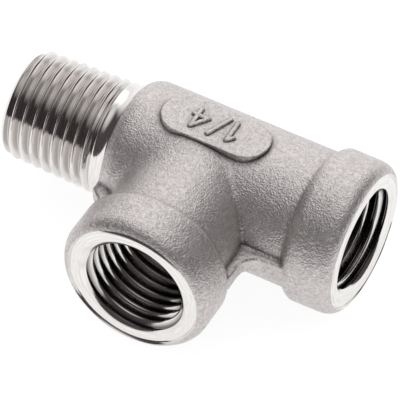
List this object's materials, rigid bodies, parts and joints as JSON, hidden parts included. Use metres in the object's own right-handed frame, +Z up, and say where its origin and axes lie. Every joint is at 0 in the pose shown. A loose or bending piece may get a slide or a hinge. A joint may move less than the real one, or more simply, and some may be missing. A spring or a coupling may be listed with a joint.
{
  "type": "pipe tee",
  "caption": "Cast stainless pipe tee, quarter inch: male taper thread and female socket on the run, female socket on the branch.",
  "frame": {"origin": "where the run's axis and the branch's axis cross, in the middle of the cast core", "axes": "+X along the run out of its female socket, -X out of the male end, -Y along the branch out of its socket, +Z up through the flat pad"},
  "size_m": [0.0435, 0.0285, 0.0184],
  "materials": {
    "stainless_steel": "blasted investment casting, with bright turned threads, faces and mouths"
  },
  "bodies": {
    "root": {"tee_body": "stainless_steel"}
  },
  "joints": []
}
